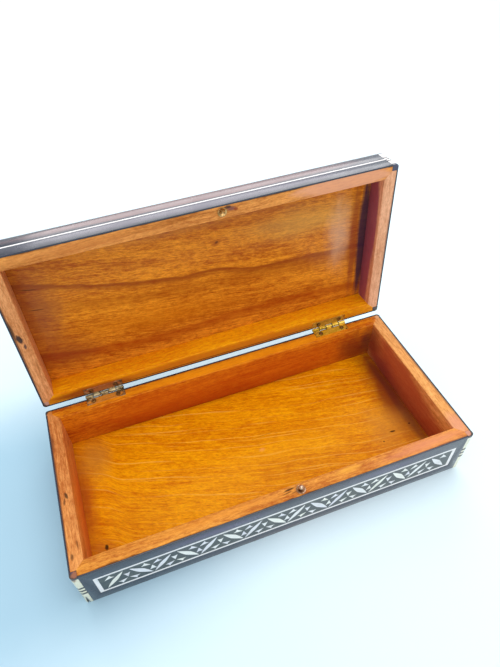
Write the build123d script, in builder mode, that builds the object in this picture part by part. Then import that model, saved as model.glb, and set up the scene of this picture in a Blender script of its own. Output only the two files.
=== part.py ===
from build123d import *
import math
import os

os.makedirs("parts", exist_ok=True)

# ---------------------------------------------------------------------------
# A long, shallow hinged box of varnished wood, veneered dark outside and
# inlaid with bone.  +X runs along the box, +Y to its back, +Z up.  The origin
# is the middle of the underside.  The lid stands open at open_angle.
# ---------------------------------------------------------------------------

# Driving sizes, millimetres and degrees
length = 240.0
width = 111.0
base_height = 36.0
lid_height = 17.5
rim = 8.5                 # width of the rim, veneer included
veneer = 0.9
corner = 4.0              # side of the square corner strips
corner_round = 2.0
floor_thickness = 5.5
rebate = 3.0              # how far the floor and the lid board are let into the walls
lid_board_thickness = 2.6
open_angle = 95.0
rim_gap = 0.6             # between the two rims when the lid is shut

# Hinges: two small brass butt hinges let into the back rims
hinge_x = 81.0
hinge_length = 25.0
hinge_back = 1.5          # pin axis behind the back face
knuckle_count = 5
knuckle_radius = 1.2
knuckle_gap = 0.2
pin_radius = 0.65
pin_clearance = 0.03
leaf_thickness = 0.8
leaf_reach = 5.1          # from the back face into the rim
nail_spacing = 16.0
nail_radius = 0.5
nail_head_radius = 1.1
nail_length = 6.0
nail_dome = 0.18
nail_fit = 0.03

# Catch: a ball-headed stud in the front rim and a cup in the lid's rim
catch_x = 9.5
catch_inset = 4.4         # from the front face to the stud's axis
collar_radius = 2.7
collar_thickness = 0.6
collar_sunk = 0.38
ball_radius = 1.5
ball_height = 2.2         # ball centre above the base rim
neck_radius = 0.8
stud_length = 9.0
cup_radius = 2.3
cup_bore = 1.7
cup_depth = 5.0
catch_fit = 0.03

# Inlay bands: a zigzag of long leaves with a three-petal sprig in each bay
period = 26.5
band_margin = 2.0
band_inner_height = 16.8
band_string = 1.7
band_bar = 2.3
band_centre = 17.3        # height of the band's middle on the base
front_repeats = 8
end_repeats = 3
lid_repeats = 7
leaf_rise = 14.6
thin_leaf_run = 11.0
thin_leaf_width = 3.1
wide_leaf_run = 12.0
wide_leaf_width = 3.9
thin_leaf_x = 5.8
wide_leaf_x = 20.2
bay_x = 12.7
bay_shift = 2.6           # the sprigs' centres above and below the band's middle
petal_angles = (90.0, -33.0, 213.0)
petal_upper = ((0.6, 0.0), (3.2, 0.95), (4.6, 1.4), (5.95, 1.95), (5.45, 0.95), (5.3, 0.0))

# Strings on the lid
side_string_width = 1.2
side_string_depth = 0.6
side_string_height = 8.6  # from the lid's rim to the string's middle
top_string_width = 1.7
top_string_inset = 8.0

# Corner strips, from the base's underside up and from the lid's rim up
base_bone_bottom = 13.0
lid_bone_bottom = 4.0
line_height = 1.9
lid_line_height = 1.1
line_count = 5
corner_cap = 1.8

# Derived places
half_length = length / 2
half_width = width / 2
hinge_y = half_width + hinge_back
hinge_z = base_height + rim_gap / 2
open_sine = math.sin(math.radians(open_angle))
open_cosine = math.cos(math.radians(open_angle))
lid_up = Vector(0, open_sine, open_cosine)
lid_back = Vector(0, open_cosine, -open_sine)
hinge_axis_point = Vector(0, hinge_y, hinge_z)
lid_centre = hinge_axis_point - lid_back * hinge_y + lid_up * (rim_gap / 2)
base_frame = Plane.XY
lid_frame = Plane(origin=lid_centre, x_dir=(1, 0, 0), z_dir=lid_up)
side_turns = {"front": 0.0, "right": 90.0, "back": 180.0, "left": 270.0}


def turned(frame, angle):
    """The frame turned about its own Z, so that its -Y looks out of one side."""
    cosine = math.cos(math.radians(angle))
    sine = math.sin(math.radians(angle))
    return Plane(origin=frame.origin, x_dir=frame.x_dir * cosine + frame.y_dir * sine, z_dir=frame.z_dir)


def half_run(side):
    """Half the length of one side, along it."""
    return half_length if side in ("front", "back") else half_width


def half_reach(side):
    """From the middle of the box out to one side."""
    return half_width if side in ("front", "back") else half_length


def outer_face(frame, side):
    """A plane on one outer side: X along it, Y up, Z outwards, origin at its foot."""
    stand = turned(frame, side_turns[side])
    foot = stand.origin - stand.y_dir * half_reach(side)
    return Plane(origin=foot, x_dir=stand.x_dir, z_dir=-stand.y_dir)


def raised_plane(frame, side, height):
    """The middle of an outer side at a height above its foot."""
    face = outer_face(frame, side)
    return Plane(origin=face.origin + face.y_dir * height, x_dir=face.x_dir, z_dir=face.z_dir)


def place(frame, x, y, z):
    """A location in one of the two frames, square to it."""
    return frame.location * Location((x, y, z))


def save(builder, name):
    builder.part.label = name
    export_step(builder.part, f"parts/{name}.step")


def hinge_recesses(frame, rim_height, sink):
    """Shallow seats for the hinge leaves and bores for their nails, cut in a back rim."""
    for x in (-hinge_x, hinge_x):
        middle = half_width - leaf_reach / 2
        with Locations(place(frame, x, middle, rim_height + sink * leaf_thickness / 2)):
            Box(hinge_length, leaf_reach, leaf_thickness, mode=Mode.SUBTRACT)
        for step in (-nail_spacing / 2, nail_spacing / 2):
            with Locations(place(frame, x + step, middle, rim_height + sink * nail_length / 2)):
                Cylinder(nail_radius + nail_fit, nail_length, mode=Mode.SUBTRACT)


def carcass_wall(frame, side, height, board_low, board_thickness):
    """One mitred wall of the carcass, notched for the corner strips and the board."""
    run = half_run(side)
    reach = half_reach(side)
    plan = turned(frame, side_turns[side])
    with BuildPart() as wall:
        with BuildSketch(plan):
            with BuildLine():
                Polyline(
                    (veneer - run, veneer - reach),
                    (run - veneer, veneer - reach),
                    (run - rim, rim - reach),
                    (rim - run, rim - reach),
                    close=True,
                )
            make_face()
            with Locations((corner / 2 - run, corner / 2 - reach), (run - corner / 2, corner / 2 - reach)):
                Rectangle(corner, corner, mode=Mode.SUBTRACT)
        extrude(amount=height)
        with Locations(place(plan, 0, 0, board_low + board_thickness / 2)):
            Box(
                2 * (run - rim + rebate),
                2 * (reach - rim + rebate),
                board_thickness,
                mode=Mode.SUBTRACT,
            )
    return wall


# ---------------------------------------------------------------------------
# Base carcass: four mitred walls and the floor board let up into them
# ---------------------------------------------------------------------------
base_walls = {
    side: carcass_wall(base_frame, side, base_height, 0, floor_thickness)
    for side in side_turns
}

with BuildPart() as base_front_wall:
    add(base_walls["front"].part)
    with Locations((catch_x, catch_inset - half_width, base_height - collar_sunk / 2)):
        Cylinder(collar_radius + catch_fit, collar_sunk, mode=Mode.SUBTRACT)
    with Locations((catch_x, catch_inset - half_width, base_height - stud_length / 2)):
        Cylinder(neck_radius + catch_fit, stud_length, mode=Mode.SUBTRACT)
save(base_front_wall, "base_front_wall")

with BuildPart() as base_back_wall:
    add(base_walls["back"].part)
    hinge_recesses(base_frame, base_height, -1)
save(base_back_wall, "base_back_wall")

with BuildPart() as base_left_wall:
    add(base_walls["left"].part)
save(base_left_wall, "base_left_wall")

with BuildPart() as base_right_wall:
    add(base_walls["right"].part)
save(base_right_wall, "base_right_wall")

with BuildPart() as base_floor:
    with BuildSketch():
        Rectangle(length - 2 * (rim - rebate), width - 2 * (rim - rebate))
    extrude(amount=floor_thickness)
save(base_floor, "base_floor")

# ---------------------------------------------------------------------------
# Lid carcass: the same four mitred walls, with a thin board closing the top
# ---------------------------------------------------------------------------
lid_wall_height = lid_height - veneer
lid_board_low = lid_wall_height - lid_board_thickness
lid_walls = {
    side: carcass_wall(lid_frame, side, lid_wall_height, lid_board_low, lid_board_thickness)
    for side in side_turns
}

with BuildPart() as lid_front_wall:
    add(lid_walls["front"].part)
    with Locations(place(lid_frame, catch_x, catch_inset - half_width, collar_sunk / 2)):
        Cylinder(collar_radius + catch_fit, collar_sunk, mode=Mode.SUBTRACT)
    with Locations(place(lid_frame, catch_x, catch_inset - half_width, cup_depth / 2)):
        Cylinder(cup_radius + catch_fit, cup_depth, mode=Mode.SUBTRACT)
save(lid_front_wall, "lid_front_wall")

with BuildPart() as lid_back_wall:
    add(lid_walls["back"].part)
    hinge_recesses(lid_frame, 0, 1)
save(lid_back_wall, "lid_back_wall")

with BuildPart() as lid_left_wall:
    add(lid_walls["left"].part)
save(lid_left_wall, "lid_left_wall")

with BuildPart() as lid_right_wall:
    add(lid_walls["right"].part)
save(lid_right_wall, "lid_right_wall")

with BuildPart() as lid_board:
    with BuildSketch(lid_frame.offset(lid_board_low)):
        Rectangle(length - 2 * (rim - rebate), width - 2 * (rim - rebate))
    extrude(amount=lid_board_thickness)
save(lid_board, "lid_board")

# ---------------------------------------------------------------------------
# Inlay bands: dark ground, bone border and bone figures, all veneer thick
# ---------------------------------------------------------------------------


def band_length(repeats):
    return repeats * period + 2 * band_margin


def leaf(middle, run, rise, leaf_width):
    """A long lozenge drawn round its middle, with its points run and rise apart."""
    span = math.hypot(run, rise)
    along = Vector(run, rise) / 2
    across = Vector(-rise, run) * (leaf_width / 2 / span)
    with Locations(middle):
        Polygon(along, across, -along, -across, align=None)


def petal(centre, angle):
    """A petal that widens from its tip at the sprig's centre to a notched end."""
    lower_side = [(along, -aside) for along, aside in reversed(petal_upper[1:-1])]
    with Locations(Location((centre.X, centre.Y, 0), (0, 0, angle))):
        Polygon(*petal_upper, *lower_side, align=None)


def band_figures(repeats):
    """The leaves and petals of one band, as sketch faces about the band's middle."""
    start = -repeats * period / 2
    for count in range(repeats):
        left = start + count * period
        leaf(Vector(left + thin_leaf_x, 0), thin_leaf_run, leaf_rise, thin_leaf_width)
        leaf(Vector(left + wide_leaf_x, 0), wide_leaf_run, -leaf_rise, wide_leaf_width)
        for angle in petal_angles:
            petal(Vector(left + bay_x, -bay_shift), angle)
    for count in range(1, repeats):
        for angle in petal_angles:
            petal(Vector(start + count * period, bay_shift), -angle)
    petal(Vector(start, bay_shift), -petal_angles[1])
    petal(Vector(-start, bay_shift), -petal_angles[2])


def inlay_band(prefix, face, repeats):
    """Ground, border and figures of one band, flush with the outer face."""
    inner = band_length(repeats)
    string_y = (band_inner_height + band_string) / 2
    with BuildPart() as ground:
        with BuildSketch(face):
            Rectangle(inner, band_inner_height)
            with BuildSketch(mode=Mode.SUBTRACT):
                band_figures(repeats)
        extrude(amount=-veneer)
    save(ground, prefix + "_ground")
    with BuildPart() as border:
        with BuildSketch(face):
            with Locations((0, string_y), (0, -string_y)):
                Rectangle(inner, band_string)
            with Locations(((inner + band_bar) / 2, 0), (-(inner + band_bar) / 2, 0)):
                Rectangle(band_bar, band_inner_height + 2 * band_string)
        extrude(amount=-veneer)
    save(border, prefix + "_border")
    with BuildPart() as figures:
        with BuildSketch(face):
            band_figures(repeats)
        extrude(amount=-veneer)
    save(figures, prefix + "_figures")


lid_top_face = lid_frame.offset(lid_height)
inlay_band("front_band", raised_plane(base_frame, "front", band_centre), front_repeats)
inlay_band("left_band", raised_plane(base_frame, "left", band_centre), end_repeats)
inlay_band("right_band", raised_plane(base_frame, "right", band_centre), end_repeats)
inlay_band("lid_band", lid_top_face, lid_repeats)

# ---------------------------------------------------------------------------
# Dark veneer: one sheet on each side between the corner strips, one on top
# ---------------------------------------------------------------------------


def side_sheet(frame, side, height):
    """A sheet of veneer on one side, from the foot of its frame up."""
    with BuildPart() as sheet:
        with BuildSketch(outer_face(frame, side)):
            with Locations((0, height / 2)):
                Rectangle(2 * (half_run(side) - corner), height)
        extrude(amount=-veneer)
    return sheet


def banded_sheet(side, repeats):
    """A base sheet with the window that its inlay band fills."""
    with BuildPart() as sheet:
        add(side_sheet(base_frame, side, base_height).part)
        with BuildSketch(raised_plane(base_frame, side, band_centre)):
            Rectangle(band_length(repeats) + 2 * band_bar, band_inner_height + 2 * band_string)
        extrude(amount=-veneer, mode=Mode.SUBTRACT)
    return sheet


def hinge_notches(frame, rim_height, sink):
    """The openings in a back sheet where the hinge leaves cross its rim edge."""
    for x in (-hinge_x, hinge_x):
        with Locations(place(frame, x, half_width - veneer / 2, rim_height + sink * leaf_thickness / 2)):
            Box(hinge_length, veneer, leaf_thickness, mode=Mode.SUBTRACT)


def grooved_sheet(side):
    """A lid sheet with the groove for its side string, cut part way through."""
    with BuildPart() as sheet:
        add(side_sheet(lid_frame, side, lid_wall_height).part)
        with BuildSketch(raised_plane(lid_frame, side, side_string_height)):
            Rectangle(2 * (half_run(side) - corner), side_string_width)
        extrude(amount=-side_string_depth, mode=Mode.SUBTRACT)
    return sheet


with BuildPart() as base_front_veneer:
    add(banded_sheet("front", front_repeats).part)
save(base_front_veneer, "base_front_veneer")

with BuildPart() as base_left_veneer:
    add(banded_sheet("left", end_repeats).part)
save(base_left_veneer, "base_left_veneer")

with BuildPart() as base_right_veneer:
    add(banded_sheet("right", end_repeats).part)
save(base_right_veneer, "base_right_veneer")

with BuildPart() as base_back_veneer:
    add(side_sheet(base_frame, "back", base_height).part)
    hinge_notches(base_frame, base_height, -1)
save(base_back_veneer, "base_back_veneer")

with BuildPart() as lid_front_veneer:
    add(grooved_sheet("front").part)
save(lid_front_veneer, "lid_front_veneer")

with BuildPart() as lid_left_veneer:
    add(grooved_sheet("left").part)
save(lid_left_veneer, "lid_left_veneer")

with BuildPart() as lid_right_veneer:
    add(grooved_sheet("right").part)
save(lid_right_veneer, "lid_right_veneer")

with BuildPart() as lid_back_veneer:
    add(grooved_sheet("back").part)
    hinge_notches(lid_frame, 0, 1)
save(lid_back_veneer, "lid_back_veneer")

with BuildPart() as lid_top_veneer:
    with BuildSketch(lid_top_face):
        RectangleRounded(length, width, corner_round)
        Rectangle(
            band_length(lid_repeats) + 2 * band_bar,
            band_inner_height + 2 * band_string,
            mode=Mode.SUBTRACT,
        )
        with BuildSketch(mode=Mode.SUBTRACT):
            Rectangle(length - 2 * top_string_inset, width - 2 * top_string_inset)
            Rectangle(
                length - 2 * (top_string_inset + top_string_width),
                width - 2 * (top_string_inset + top_string_width),
                mode=Mode.SUBTRACT,
            )
    extrude(amount=-veneer)
save(lid_top_veneer, "lid_top_veneer")

# ---------------------------------------------------------------------------
# Bone strings: one round the four sides of the lid, one round its top
# ---------------------------------------------------------------------------
with BuildPart() as lid_side_strings:
    for string_side in side_turns:
        with BuildSketch(raised_plane(lid_frame, string_side, side_string_height)):
            Rectangle(2 * (half_run(string_side) - corner), side_string_width)
        extrude(amount=-side_string_depth)
save(lid_side_strings, "lid_side_strings")

with BuildPart() as lid_top_string:
    with BuildSketch(lid_top_face):
        Rectangle(length - 2 * top_string_inset, width - 2 * top_string_inset)
        Rectangle(
            length - 2 * (top_string_inset + top_string_width),
            width - 2 * (top_string_inset + top_string_width),
            mode=Mode.SUBTRACT,
        )
    extrude(amount=-veneer)
save(lid_top_string, "lid_top_string")

# ---------------------------------------------------------------------------
# Corner strips: square sticks of stacked bone and ebony at every upright edge
# ---------------------------------------------------------------------------
corner_signs = {
    "front_left": (-1, -1),
    "front_right": (1, -1),
    "back_left": (-1, 1),
    "back_right": (1, 1),
}


def strip_block(frame, signs, low, high):
    """A block of one corner strip, rounded on its outer upright edge."""
    sign_x, sign_y = signs
    with BuildPart() as block:
        with BuildSketch(frame.offset(low)):
            with Locations((sign_x * (half_length - corner / 2), sign_y * (half_width - corner / 2))):
                Rectangle(corner, corner)
            outer = vertices().sort_by(lambda point: sign_x * point.X + sign_y * point.Y)[-1]
            fillet(outer, corner_round)
        extrude(amount=high - low)
    return block


def strip_layers(bone_bottom, line, top, cap_at_top):
    """Heights of the bone and ebony layers of a strip, as two lists of pairs."""
    bone = []
    ebony = []
    low = bone_bottom
    for count in range(line_count):
        layer = (low, low + line)
        (bone if count % 2 else ebony).append(layer)
        low += line
    if cap_at_top:
        bone += [(0, bone_bottom), (low, top - corner_cap)]
        ebony.append((top - corner_cap, top))
    else:
        bone += [(corner_cap, bone_bottom), (low, top)]
        ebony.append((0, corner_cap))
    return bone, ebony


base_bone_layers, base_ebony_layers = strip_layers(base_bone_bottom, line_height, base_height, True)
lid_bone_layers, lid_ebony_layers = strip_layers(
    corner_cap + lid_bone_bottom, lid_line_height, lid_wall_height, False
)

for corner_name, signs in corner_signs.items():
    with BuildPart() as base_corner_bone:
        for low, high in base_bone_layers:
            add(strip_block(base_frame, signs, low, high).part)
    save(base_corner_bone, f"base_corner_{corner_name}")
    with BuildPart() as lid_corner_bone:
        for low, high in lid_bone_layers:
            add(strip_block(lid_frame, signs, low, high).part)
    save(lid_corner_bone, f"lid_corner_{corner_name}")

with BuildPart() as base_corner_ebony:
    for signs in corner_signs.values():
        for low, high in base_ebony_layers:
            add(strip_block(base_frame, signs, low, high).part)
save(base_corner_ebony, "base_corner_ebony")

with BuildPart() as lid_corner_ebony:
    for signs in corner_signs.values():
        for low, high in lid_ebony_layers:
            add(strip_block(lid_frame, signs, low, high).part)
save(lid_corner_ebony, "lid_corner_ebony")

# ---------------------------------------------------------------------------
# Hinges: rolled brass leaves with five knuckles on a loose pin
# ---------------------------------------------------------------------------
knuckle_pitch = hinge_length / knuckle_count
side_names = {"left": -hinge_x, "right": hinge_x}


def knuckle_middles(centre_x, first):
    """The middles of every second knuckle of a hinge, counted from the first."""
    start = centre_x - hinge_length / 2 + knuckle_pitch / 2
    return [start + count * knuckle_pitch for count in range(first, knuckle_count, 2)]


def hinge_leaf(frame, centre_x, rim_height, pin_height, sink, first):
    """A flat leaf in its seat, tongues over the back edge, knuckles round the pin."""
    leaf_middle = rim_height + sink * leaf_thickness / 2
    tongue = knuckle_pitch - knuckle_gap
    middle_y = half_width - leaf_reach / 2
    cone_height = nail_head_radius - nail_radius
    with BuildPart() as leaf_part:
        with Locations(place(frame, centre_x, middle_y, leaf_middle)):
            Box(hinge_length, leaf_reach, leaf_thickness)
        for x in knuckle_middles(centre_x, first):
            with Locations(place(frame, x, half_width + hinge_back / 2, leaf_middle)):
                Box(tongue, hinge_back, leaf_thickness)
            with Locations(place(frame, x, hinge_y, pin_height)):
                Cylinder(knuckle_radius, tongue, rotation=(0, 90, 0))
        with Locations(place(frame, centre_x, hinge_y, pin_height)):
            Cylinder(pin_radius + pin_clearance, 2 * hinge_length, rotation=(0, 90, 0), mode=Mode.SUBTRACT)
        for step in (-nail_spacing / 2, nail_spacing / 2):
            with Locations(place(frame, centre_x + step, middle_y, leaf_middle)):
                Cylinder(nail_radius + nail_fit, 2 * leaf_thickness, mode=Mode.SUBTRACT)
            with Locations(place(frame, centre_x + step, middle_y, rim_height + sink * cone_height / 2)):
                wide = nail_head_radius + nail_fit
                narrow = nail_radius + nail_fit
                if sink > 0:
                    Cone(wide, narrow, cone_height, mode=Mode.SUBTRACT)
                else:
                    Cone(narrow, wide, cone_height, mode=Mode.SUBTRACT)
    return leaf_part


def hinge_nails(frame, rim_height, sink):
    """The countersunk, slightly domed nails of both hinges on one rim."""
    cone_height = nail_head_radius - nail_radius
    dome_radius = (nail_head_radius**2 + nail_dome**2) / (2 * nail_dome)
    half_head = nail_head_radius / 2
    shoulder = nail_length - 2 * nail_radius
    dome_middle = (half_head, dome_radius - math.sqrt(dome_radius**2 - half_head**2) - nail_dome)
    with BuildPart() as nails:
        for centre_x in (-hinge_x, hinge_x):
            for step in (-nail_spacing / 2, nail_spacing / 2):
                nail_y = half_width - leaf_reach / 2
                middle = frame.from_local_coords(Vector(centre_x + step, nail_y, rim_height))
                profile = Plane(origin=middle, x_dir=frame.x_dir, z_dir=frame.y_dir * -sink)
                with BuildSketch(profile):
                    with BuildLine():
                        Polyline(
                            (0, -nail_dome),
                            (0, nail_length),
                            (nail_radius, shoulder),
                            (nail_radius, cone_height),
                            (nail_head_radius, 0),
                        )
                        ThreePointArc((nail_head_radius, 0), dome_middle, (0, -nail_dome))
                    make_face()
                revolve(axis=Axis(middle, frame.z_dir))
    return nails


for side_name, centre_x in side_names.items():
    with BuildPart() as base_leaf:
        add(hinge_leaf(base_frame, centre_x, base_height, hinge_z, -1, 0).part)
    save(base_leaf, f"hinge_{side_name}_base_leaf")
    with BuildPart() as lid_leaf:
        add(hinge_leaf(lid_frame, centre_x, 0, -rim_gap / 2, 1, 1).part)
    save(lid_leaf, f"hinge_{side_name}_lid_leaf")
    with BuildPart() as hinge_pin:
        with Locations(Location((centre_x, hinge_y, hinge_z), (0, 90, 0))):
            Cylinder(pin_radius, hinge_length + 2 * knuckle_gap)
        fillet(edges().filter_by(GeomType.CIRCLE), pin_radius / 2)
    save(hinge_pin, f"hinge_{side_name}_pin")

with BuildPart() as base_hinge_nails:
    add(hinge_nails(base_frame, base_height, -1).part)
save(base_hinge_nails, "base_hinge_nails")

with BuildPart() as lid_hinge_nails:
    add(hinge_nails(lid_frame, 0, 1).part)
save(lid_hinge_nails, "lid_hinge_nails")

# ---------------------------------------------------------------------------
# Catch: turned brass stud with a ball head, and the flanged cup it snaps into
# ---------------------------------------------------------------------------
stud_foot = Vector(catch_x, catch_inset - half_width, base_height)
ball_chord = math.sqrt(ball_radius**2 - neck_radius**2)
with BuildPart() as catch_stud:
    with BuildSketch(Plane(origin=stud_foot, x_dir=(1, 0, 0), z_dir=(0, -1, 0))):
        with BuildLine():
            Polyline(
                (0, ball_height + ball_radius),
                (0, -stud_length),
                (neck_radius, neck_radius - stud_length),
                (neck_radius, -collar_sunk),
                (collar_radius, -collar_sunk),
                (collar_radius, collar_thickness - collar_sunk),
                (neck_radius, collar_thickness - collar_sunk),
                (neck_radius, ball_height - ball_chord),
            )
            ThreePointArc(
                (neck_radius, ball_height - ball_chord),
                (ball_radius, ball_height),
                (0, ball_height + ball_radius),
            )
        make_face()
    revolve(axis=Axis(stud_foot, (0, 0, 1)))
save(catch_stud, "catch_stud")

cup_foot = lid_frame.from_local_coords(Vector(catch_x, catch_inset - half_width, 0))
cup_wall = cup_radius - cup_bore
with BuildPart() as catch_cup:
    with BuildSketch(Plane(origin=cup_foot, x_dir=(1, 0, 0), z_dir=-lid_frame.y_dir)):
        with BuildLine():
            Polyline(
                (cup_bore, collar_sunk - collar_thickness),
                (collar_radius, collar_sunk - collar_thickness),
                (collar_radius, collar_sunk),
                (cup_radius, collar_sunk),
                (cup_radius, cup_depth),
                (0, cup_depth),
                (0, cup_depth - cup_wall),
                (cup_bore, cup_depth - cup_wall),
                close=True,
            )
        make_face()
    revolve(axis=Axis(cup_foot, lid_up))
save(catch_cup, "catch_cup")
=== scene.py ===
import math

import bmesh
import bpy
from mathutils import Matrix, Vector


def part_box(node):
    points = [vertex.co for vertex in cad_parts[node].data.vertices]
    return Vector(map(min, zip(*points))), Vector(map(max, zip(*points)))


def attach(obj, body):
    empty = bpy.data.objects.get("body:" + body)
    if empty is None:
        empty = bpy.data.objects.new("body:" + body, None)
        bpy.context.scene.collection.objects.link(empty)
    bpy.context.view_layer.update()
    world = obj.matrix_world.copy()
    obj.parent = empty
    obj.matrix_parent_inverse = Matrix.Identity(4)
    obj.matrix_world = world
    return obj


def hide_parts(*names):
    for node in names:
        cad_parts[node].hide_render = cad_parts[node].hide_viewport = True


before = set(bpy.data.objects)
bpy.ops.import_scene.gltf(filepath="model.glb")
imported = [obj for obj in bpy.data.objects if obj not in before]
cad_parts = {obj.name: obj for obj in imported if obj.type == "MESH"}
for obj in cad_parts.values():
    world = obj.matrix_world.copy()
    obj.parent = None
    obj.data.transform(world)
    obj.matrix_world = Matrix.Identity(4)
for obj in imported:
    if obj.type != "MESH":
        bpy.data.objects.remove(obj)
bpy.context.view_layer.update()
mm = 0.001

# ---------------------------------------------------------------------------
# Walls of the base.  Four boards of close-grained hardwood, mitred and glued at
# the corners, stained amber and varnished.  Years of handling have softened
# their rims and left a few scratches and dents.
# ---------------------------------------------------------------------------


def tone(code):
    """A colour given as six hex digits, as the linear numbers a shader takes."""
    parts = [int(code[place:place + 2], 16) / 255 for place in (0, 2, 4)]
    linear = [part / 12.92 if part < 0.0405 else ((part + 0.055) / 1.055) ** 2.4 for part in parts]
    return linear + [1.0]


def put(tree, kind, wires, **settings):
    """Adds a node to a tree.  Wires are its inputs, each a number or another node's socket."""
    made = tree.nodes.new(kind)
    for name, value in settings.items():
        setattr(made, name, value)
    for name, value in wires.items():
        if isinstance(value, bpy.types.NodeSocket):
            tree.links.new(value, made.inputs[name])
        else:
            made.inputs[name].default_value = value
    return made


def figure(first, operation, second=0.0, third=0.0):
    """One sum on sockets or numbers."""
    wires = {0: first, 1: second, 2: third}
    return put(first.id_data, "ShaderNodeMath", wires, operation=operation).outputs[0]


def stretched(where, size, turn=(0, 0, 0), start=(0, 0, 0)):
    """Coordinates in units of a pattern's own size, turned and started where it lies."""
    wires = {"Vector": where, "Location": start, "Rotation": turn, "Scale": size}
    return put(where.id_data, "ShaderNodeMapping", wires, vector_type="TEXTURE").outputs[0]


def cloud(where, scale=1.0, detail=3.0, rough=0.55):
    """An uneven pattern from 0 to 1, with as many clouds to the metre as its scale says."""
    wires = {"Vector": where, "Scale": scale, "Detail": detail, "Roughness": rough}
    return put(where.id_data, "ShaderNodeTexNoise", wires).outputs[0]


def drawn_out(where, length, width, detail=3.0, rough=0.55):
    """A cloud drawn out into streaks of one length and width, in millimetres."""
    return cloud(stretched(where, (length * mm, width * mm, width * mm)), 1.0, detail, rough)


def between(value, low, high, to_low=0.0, to_high=1.0):
    """Spreads the stretch from low to high of a value over another stretch, smoothly."""
    wires = {"Value": value, "From Min": low, "From Max": high, "To Min": to_low, "To Max": to_high}
    kind = "ShaderNodeMapRange"
    return put(value.id_data, kind, wires, interpolation_type="SMOOTHSTEP").outputs[0]


def blended(tree, share, first, second):
    """The first colour where share is 0, and the second where it is 1."""
    wires = {0: share, 6: first, 7: second}
    return put(tree, "ShaderNodeMix", wires, data_type="RGBA").outputs[2]


def wandering(where, amount, size):
    """Coordinates pushed about gently, so that nothing drawn on them is dead straight."""
    tree = where.id_data
    push = put(tree, "ShaderNodeTexNoise", {"Vector": where, "Scale": 1 / size, "Detail": 2.0})
    centred = put(tree, "ShaderNodeVectorMath", {0: push.outputs[1], 1: (-0.5, -0.5, -0.5)})
    wires = {0: centred.outputs[0], "Scale": amount}
    sized = put(tree, "ShaderNodeVectorMath", wires, operation="SCALE")
    return put(tree, "ShaderNodeVectorMath", {0: where, 1: sized.outputs[0]}).outputs[0]


def spot(where, centre, size, turn=0.0, soft=0.5, ragged=0.35):
    """1 inside a round or oval patch and 0 outside, with a soft and uneven edge.  Its centre
    and half its length, width and depth are in millimetres."""
    place = [part * mm for part in centre]
    reach = [part * mm for part in size]
    own = stretched(where, reach, (0, 0, math.radians(turn)), place)
    far = put(where.id_data, "ShaderNodeVectorMath", {0: own}, operation="LENGTH").outputs["Value"]
    uneven = figure(cloud(own, 1.7, 3.0), "MULTIPLY_ADD", ragged * 2, -ragged)
    return between(figure(far, "ADD", uneven), 1.0, 1.0 - soft)


lid_turn = math.radians(-95)
lid_rim_middle = Vector((0, 62.27, 93.06)) * mm


def place_on(tree, on_lid):
    """Object coordinates, squared up to the base or to the open lid (its rim is z 0)."""
    own = put(tree, "ShaderNodeTexCoord", {}).outputs["Object"]
    if not on_lid:
        return own
    return stretched(own, (1, 1, 1), (lid_turn, 0, 0), lid_rim_middle)


def new_finish(name):
    """A material with an empty tree but for its shader; returns the three."""
    finish = bpy.data.materials.new(name)
    finish.use_nodes = True
    tree = finish.node_tree
    shader = tree.nodes["Principled BSDF"]
    return finish, tree, shader


def trail(where, points, above, below):
    """1 along a wandering line drawn through a few points, fading out over the two widths
    beside it.  All in millimetres from the middle of the box."""
    half_length = 120
    half_width = 60
    uneven = 3 * mm
    tree = where.id_data
    parts = put(tree, "ShaderNodeSeparateXYZ", {0: where}).outputs
    wires = {"Value": parts[0], "From Min": -half_length * mm, "From Max": half_length * mm}
    share = put(tree, "ShaderNodeMapRange", wires).outputs[0]
    line = put(tree, "ShaderNodeFloatCurve", {"Value": share})
    curve = line.mapping.curves[0]
    for number, (x, y) in enumerate(points):
        spot_on = ((x + half_length) / (2 * half_length), (y + half_width) / (2 * half_width))
        if number < len(curve.points):
            curve.points[number].location = spot_on
        else:
            curve.points.new(*spot_on)
    line.mapping.update()
    height = figure(line.outputs[0], "MULTIPLY_ADD", 2 * half_width * mm, -half_width * mm)
    ragged = figure(drawn_out(where, 20, 4), "MULTIPLY_ADD", uneven, -uneven / 2)
    aside = figure(figure(parts[1], "SUBTRACT", height), "ADD", ragged)
    return figure(between(aside, -above * mm, 0), "MULTIPLY", between(aside, below * mm, 0))


def paint_patches(where, colour, patches):
    """Lays stains, wear, dirt, and painted light and shade over a colour.  Each patch is its centre,
    size, turn, colour, strength and softness, in millimetres and degrees."""
    tree = where.id_data
    for centre, size, angle, paint, strength, soft in patches:
        here = spot(where, centre, size, angle, soft)
        colour = blended(tree, figure(here, "MULTIPLY", strength), colour, tone(paint))
    return colour


def polish(shader, colour, roughness, relief, gloss, blur):
    """Joins colour and roughness to a shader, and a bump if there is one, under a clear coat."""
    tree = shader.id_data
    tree.links.new(colour, shader.inputs["Base Color"])
    tree.links.new(roughness, shader.inputs["Roughness"])
    if relief:
        tree.links.new(put(tree, "ShaderNodeBump", relief).outputs[0], shader.inputs["Normal"])
    shader.inputs["Coat Weight"].default_value = gloss
    shader.inputs["Coat Roughness"].default_value = blur


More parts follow.
